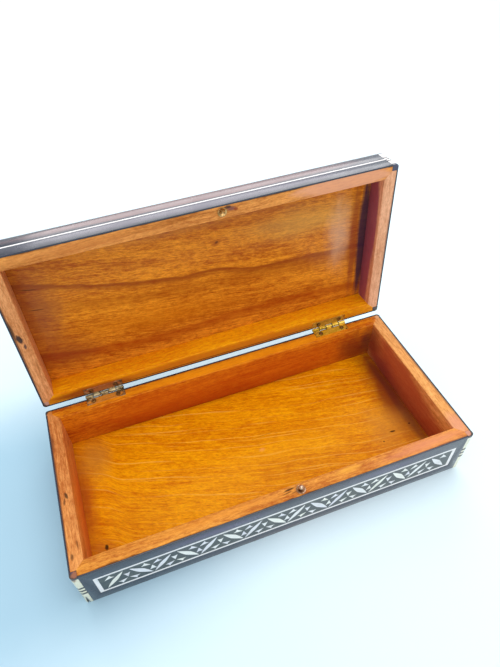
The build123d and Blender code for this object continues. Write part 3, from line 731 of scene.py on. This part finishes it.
# ---------------------------------------------------------------------------
# Board of the lid.  A single browner board with a long dark streak through its
# middle, a small knot, and fine cracks at its left end.
# ---------------------------------------------------------------------------
board_face = 14
lid_board_finish = varnished_wood(
    "amber_wood_lid_board", "F69C26", "A64A0A", "6A2E06", on_lid=True, start=(0, 3, 0),
    sweep=(-0.12, 0.3, 0.0), gloss=0.18, trails=(
        (((-120, -31), (120, 4), (-84, -21), (-66, -15.5), (-44, -10.5), (-13, -6), (6, -5.5),
          (27, 0), (44, 1.6)), 1.6, 6.5, "842E0A", 0.78),
        (((-120, -18), (120, 14), (-60, -2), (0, 4), (60, 8)), 6.0, 9.0, "A0500C", 0.4),
        (((-120, 24), (120, 38), (-40, 35), (30, 33)), 3.5, 9.0, "A03A08", 0.65)),
    patches=(
        # Broad lighter and darker clouds.
        ((66, -24, board_face), (60, 16, 9), 0, "D2A04C", 0.45, 0.9),
        ((-30, 20, board_face), (80, 14, 9), 4, "D2780C", 0.4, 0.9),
        ((-10, -44, board_face), (120, 12, 9), 0, "9A5C3A", 0.7, 0.9),
        ((-106, -10, board_face), (24, 52, 9), 0, "7E3A26", 0.62, 0.9),
        ((-98, 28, board_face), (34, 20, 9), 0, "84301A", 0.62, 0.9),
        # The knot, then two cracks.
        ((7.7, -23.8, board_face), (4.6, 3.2, 3), -20, "96380C", 0.75, 0.9),
        ((8.4, -24.2, board_face), (1.6, 1.0, 3), -30, "4A1A08", 0.8, 0.6),
        ((-104, -23.5, board_face), (6, 0.4, 2), 12, "3A1A0C", 0.85, 0.5),
        ((-104, -9, board_face), (6, 0.4, 2), 10, "3A1A0C", 0.8, 0.5),
        # A painted sheen near the right end, and painted shadow at the end beyond it, where the board
        # meets the right wall.
        ((92, -8, board_face), (13, 34, 9), 0, "D8AE8E", 0.55, 0.95),
        ((103, 0, board_face), (4.4, 60, 9), 0, "8E3A24", 0.7, 0.7),
        ((109.5, 0, board_face), (4.6, 60, 9), 0, "30243E", 0.92, 0.5)))
shape = joined_faces("lid_board")
ease(shape, 0.2 * mm)
board = finished(shape, "lid_inner_board", lid_board_finish)
stands_for(board, "lid", "lid_board")

# ---------------------------------------------------------------------------
# Dark veneer, strings and corner strips of the lid, made as on the base.  A bone
# string runs round the four sides and another frames the top.
# ---------------------------------------------------------------------------
lid_dark = {
    "along": dark_veneer("dark_veneer_lid_long", on_lid=True, start=(0, 10, 0), brown=0.4, patches=(
        ((0, -55.5, 13.6), (126, 1, 4.2), 0, "8A5E5A", 0.72, 0.4),
        ((0, -55.5, 5), (126, 1, 4.6), 0, "503E58", 0.6, 0.5),
        ((0, -55.5, 17.4), (126, 1, 1.1), 0, "3A2428", 0.8, 0.6))),
    "across": dark_veneer("dark_veneer_lid_end", on_lid=True, turn=90.0, start=(10, 0, 0), brown=0.4),
}
for side in ("front", "back", "left", "right", "top"):
    shape = joined_faces(f"lid_{side}_veneer")
    ease(shape, 0.14 * mm)
    finish = lid_dark["across" if side in ("left", "right") else "along"]
    sheet = finished(shape, f"veneer_lid_{side}", finish)
    stands_for(sheet, "lid", f"lid_{side}_veneer")
lid_bone = bone_finish("bone_lid_strings", on_lid=True, white="F8F0EE", shade="DCD4CE", grime=0.3)
for node, name in (("lid_side_strings", "string_lid_sides"), ("lid_top_string", "string_lid_top")):
    shape = joined_faces(node)
    ease(shape, 0.1 * mm, rounds=1)
    string = finished(shape, name, lid_bone)
    stands_for(string, "lid", node)
for corner in corners:
    shape = joined_faces(f"lid_corner_{corner}")
    ease(shape, 0.1 * mm, rounds=1, shortest=1.0 * mm)
    strip = finished(shape, f"corner_lid_{corner}", lid_bone)
    stands_for(strip, "lid", f"lid_corner_{corner}")
shape = joined_faces("lid_corner_ebony")
ease(shape, 0.1 * mm, rounds=1, shortest=1.0 * mm)
lid_caps = ebony_finish("ebony_lid_corners", on_lid=True, patches=(
    ((-117, 52.5, 0), (2.2, 2.2, 2), 0, "C8907A", 0.9, 0.5),
    ((118, -53.5, 0), (4, 4, 2), 0, "3A3A56", 0.8, 0.4)))
lines = finished(shape, "corner_lines_lid", lid_caps)
stands_for(lines, "lid", "lid_corner_ebony")

# ---------------------------------------------------------------------------
# Inlay band of the lid.  Seven repeats of the base's pattern, laid in the dark
# veneer of the top and framed by their own bone string.
# ---------------------------------------------------------------------------
lid_repeats = 7
veneer_thickness = 0.9 * mm
plate_size = Vector((lid_repeats * period + 4 * mm, 16.8 * mm, 0.8 * mm))
lid_ground = ground_finish("dark_ground_lid", on_lid=True)
lid_up = Matrix.Rotation(lid_turn, 3, "X") @ Vector((0, 0, 1))
low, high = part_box("lid_band_ground")
top_face = (low + high) / 2 + lid_up * veneer_thickness / 2
tree, sockets = inlay_tree("inlay_lid_band", lid_repeats)
values = {
    sockets["Place"]: top_face,
    sockets["Turn"]: Vector((lid_turn, 0, 0)),
    sockets["Seed"]: 31,
    sockets["Finish"]: lid_bone,
}
figures = grown_from(tree, values, "lid_band_leaves")
stands_for(figures, "lid", "lid_band_figures")
shape = joined_faces("lid_band_border")
ease(shape, 0.12 * mm, rounds=1)
border = finished(shape, "lid_band_string", lid_bone)
stands_for(border, "lid", "lid_band_border")
sunk = top_face - lid_up * (plate_size.z / 2 + ground_sunk)
plate = ground_plate("lid_band_plate", sunk, Matrix.Rotation(lid_turn, 4, "X"), plate_size, lid_ground)
stands_for(plate, "lid", "lid_band_ground")
for pattern in (thin_leaf, wide_leaf, petal):
    bpy.data.objects.remove(pattern)

# ---------------------------------------------------------------------------
# Hinges.  Two small butt hinges of rolled brass, let into the back rims.  The
# left one has gone dull and brown and the right one is still bright.
# ---------------------------------------------------------------------------


def brass_finish(name, bright, dull, tarnish, share, on_lid=False, rough=0.3, patches=(), varnish_film_and_highlight=None):
    """Worn brass.  Share is how much of it is tarnished.  A varnish film and highlight is a
    non-metal film over part of it, old varnish on the hinge leaves and a painted highlight in
    the cup: its centre, size, colour and strength."""
    finish, tree, shader = new_finish(name)
    where = place_on(tree, on_lid)
    spots = between(cloud(where, 420.0, 5.0, 0.6), 0.62 - share, 0.8 - share)
    soft = cloud(where, 240.0, 4.0)
    colour = blended(tree, between(soft, 0.35, 0.7), tone(bright), tone(dull))
    colour = blended(tree, spots, colour, tone(tarnish))
    if varnish_film_and_highlight:
        centre, size, paint, strength = varnish_film_and_highlight
        film = figure(spot(where, centre, size, 0, 0.25, 0.25), "MULTIPLY", strength)
        streaky = between(drawn_out(where, 6, 1.2, 4.0, 0.7), 0.35, 0.7)
        stain = blended(tree, figure(streaky, "MULTIPLY", 0.35), tone(paint), tone(tarnish))
        colour = blended(tree, film, colour, stain)
        tree.links.new(figure(film, "MULTIPLY_ADD", -1.0, 1.0), shader.inputs["Metallic"])
    else:
        shader.inputs["Metallic"].default_value = 1.0
    colour = paint_patches(where, colour, patches)
    scratches = drawn_out(where, 4, 0.15, 2.0)
    roughness = figure(spots, "MULTIPLY_ADD", 0.25, figure(scratches, "MULTIPLY_ADD", 0.2, rough - 0.1))
    bump = {"Height": figure(soft, "MULTIPLY_ADD", 1.5, scratches), "Strength": 0.6,
            "Distance": 0.12 * mm}
    tree.links.new(colour, shader.inputs["Base Color"])
    tree.links.new(roughness, shader.inputs["Roughness"])
    tree.links.new(put(tree, "ShaderNodeBump", bump).outputs[0], shader.inputs["Normal"])
    return finish


hinge_place = 81
knuckle_pitch = 5
knuckle_row = 57
leaf_row = 52.4
nail_row = 52.95
nail_places = (-8, 8)
hinge_looks = {
    "left": ("tarnished_brass", -hinge_place, dict(
        bright="B8A884", dull="7A6440", tarnish="3C2E1C", share=0.14, rough=0.36)),
    "right": ("hinge_brass", hinge_place, dict(
        bright="F4CC60", dull="B08A26", tarnish="5E3C16", share=0.09, rough=0.26)),
}
films = {
    "left": {"base_leaf": ("E88C20", 0.94), "lid_leaf": ("AC5A1E", 0.94)},
    "right": {"base_leaf": ("D89C10", 0.8), "lid_leaf": ("BC7C18", 0.85)},
}
for side, (slot, middle, look) in hinge_looks.items():
    for body, part in (("base", "base_leaf"), ("lid", "lid_leaf"), ("base", "pin")):
        node = f"hinge_{side}_{part}"
        rim = 0 if part == "lid_leaf" else base_rim
        dirt_and_shade = []
        film = None
        if part != "pin":
            paint, strength = films[side][part]
            film = ((middle, leaf_row, rim), (14, 2.9, 2), paint, strength)
            # Dirt and painted shade darken a ring round each nail head.
            for nail in nail_places:
                dirt_and_shade.append(((middle + nail, nail_row, rim), (2.3, 2.3, 2), 0, "3A2412", 0.85, 0.5))
            # Painted shade, with tarnish, darkens the seams between the knuckles.
            for joint in (-1.5, -0.5, 0.5, 1.5):
                seam = middle + joint * knuckle_pitch
                dirt_and_shade.append(((seam, knuckle_row, rim + 0.3), (0.7, 3, 3), 0, "24180C", 0.9, 0.6))
        shape = joined_faces(node)
        ease(shape, 0.08 * mm, rounds=1, shortest=3.0 * mm)
        finish = brass_finish(f"brass_{side}_{part}", on_lid=part == "lid_leaf", patches=dirt_and_shade,
                              varnish_film_and_highlight=film, **look)
        leaf = finished(shape, f"{side}_hinge_{part}", finish)
        stands_for(leaf, body, node)
nail_look = dict(bright="A87C44", dull="6E4E2A", tarnish="38281A", share=0.14, rough=0.35)
for body in ("base", "lid"):
    shape = joined_faces(f"{body}_hinge_nails")
    nails = finished(shape, f"hinge_nails_{body}", brass_finish(f"brass_nails_{body}", **nail_look), 50)
    stands_for(nails, body, f"{body}_hinge_nails")

# ---------------------------------------------------------------------------
# Catch.  A ball-headed brass stud in the front rim goes into a collared brass cup
# let into the lid's rim as the lid shuts.  The ball is rubbed bright.
# ---------------------------------------------------------------------------
stud_look = dict(bright="E4C0A4", dull="A07850", tarnish="4E3222", share=0.08, rough=0.24, patches=(
    ((9.5, -51.1, 35.7), (3.4, 3.4, 1.5), 0, "6A4426", 0.88, 0.25),))
shape = joined_faces("catch_stud")
stud = finished(shape, "stud", brass_finish("brass_stud", **stud_look), 50)
stands_for(stud, "base", "catch_stud")
# The cup's centre carries a painted highlight: a pale film that is not metal.
cup_look = dict(bright="E4B474", dull="96703C", tarnish="3E2A18", share=0.08, rough=0.26,
                varnish_film_and_highlight=((9.2, -51.3, 3), (1.5, 1.5, 8), "FBE6C4", 0.85))
shape = joined_faces("catch_cup")
cup = finished(shape, "cup", brass_finish("brass_cup", on_lid=True, **cup_look), 50)
stands_for(cup, "lid", "catch_cup")

# ---------------------------------------------------------------------------
# The table, a pale sheet far larger than the box, painted with shade that cools toward the front
# left and with a soft shadow pool beside the box; and the studio's light: a wide soft light above,
# one behind, one before, and a cool glow all round.
# ---------------------------------------------------------------------------
table_reach = 4.0
table_shade_tone = "CCE6F2"
table_lit_tone = "E4F4FA"
faint_cloud = "F4FAFC"
shadow_pool_tone = "A6C7D8"
table_finish, tree, shader = new_finish("pale_table")
where = place_on(tree, False)
parts = put(tree, "ShaderNodeSeparateXYZ", {0: where}).outputs
# Painted shade: the table darkens and cools toward the front left.
slant = figure(parts[1], "MULTIPLY_ADD", 0.9, parts[0])
cool = between(slant, -320 * mm, 90 * mm)
faint = figure(between(cloud(where, 3.0, 3.0), 0.3, 0.7), "MULTIPLY", 0.15)
colour = blended(tree, cool, tone(table_shade_tone), tone(table_lit_tone))
colour = blended(tree, faint, colour, tone(faint_cloud))
# A painted shadow: a cool pool on the table beside the box's front and left.
painted_shadow_pool = spot(where, (-160, 4, 0), (218, 124, 50), soft=0.6, ragged=0.1)
colour = blended(tree, painted_shadow_pool, colour, tone(shadow_pool_tone))
tree.links.new(colour, shader.inputs["Base Color"])
shader.inputs["Roughness"].default_value = 0.45
shape = bmesh.new()
bmesh.ops.create_grid(shape, x_segments=8, y_segments=8, size=table_reach)
table = finished(shape, "table", table_finish)


def soft_light(name, place, aim, width, depth, power, colour):
    """A large oblong light that faces a point.  Places and sizes are in metres, power in watts."""
    lamp = bpy.data.lights.new(name, "AREA")
    lamp.shape = "RECTANGLE"
    lamp.size = width
    lamp.size_y = depth
    lamp.energy = power
    lamp.color = colour
    light = bpy.data.objects.new(name, lamp)
    light.location = place
    light.rotation_euler = (Vector(aim) - Vector(place)).to_track_quat("-Z", "Y").to_euler()
    bpy.context.scene.collection.objects.link(light)


soft_light("overhead", place=(0.25, 0.0, 1.3), aim=(0, 0, 0), width=1.4, depth=1.2, power=9.2,
           colour=(1.0, 0.99, 0.97))
soft_light("behind", place=(0.45, 1.7, 1.0), aim=(0, 0, 0.05), width=2.0, depth=1.0, power=15.0,
           colour=(1.0, 1.0, 1.0))
soft_light("before", place=(-0.2, -1.5, 0.9), aim=(0, 0, 0.05), width=1.6, depth=1.0, power=7.0,
           colour=(0.98, 0.98, 1.0))
world = bpy.data.worlds.new("glow")
world.use_nodes = True
world.node_tree.nodes["Background"].inputs["Color"].default_value = (0.84, 0.93, 1.0, 1)
world.node_tree.nodes["Background"].inputs["Strength"].default_value = 0.8
bpy.context.scene.world = world
bpy.context.scene.view_settings.view_transform = "Standard"

# ---------------------------------------------------------------------------
# The camera stands over the front left of the box and looks down into it.
# ---------------------------------------------------------------------------
lens = bpy.data.cameras.new("camera")
lens.sensor_width = 36.0
lens.sensor_fit = "AUTO"
lens.lens = 28.70
lens.shift_x = 0.0323
lens.shift_y = 0.0157
camera = bpy.data.objects.new("camera", lens)
camera_place = Vector((-64.97, -174.44, 310.10)) * mm
forward = Vector((0.19755, 0.64887, -0.73481))
roll = math.radians(-3.52)
level = forward.cross(Vector((0, 0, 1))).normalized()
above = level.cross(forward)
right = level * math.cos(roll) + above * math.sin(roll)
upwards = right.cross(forward)
camera.matrix_world = Matrix((
    (right.x, upwards.x, -forward.x, camera_place.x),
    (right.y, upwards.y, -forward.y, camera_place.y),
    (right.z, upwards.z, -forward.z, camera_place.z),
    (0, 0, 0, 1)))
bpy.context.scene.collection.objects.link(camera)
bpy.context.scene.camera = camera
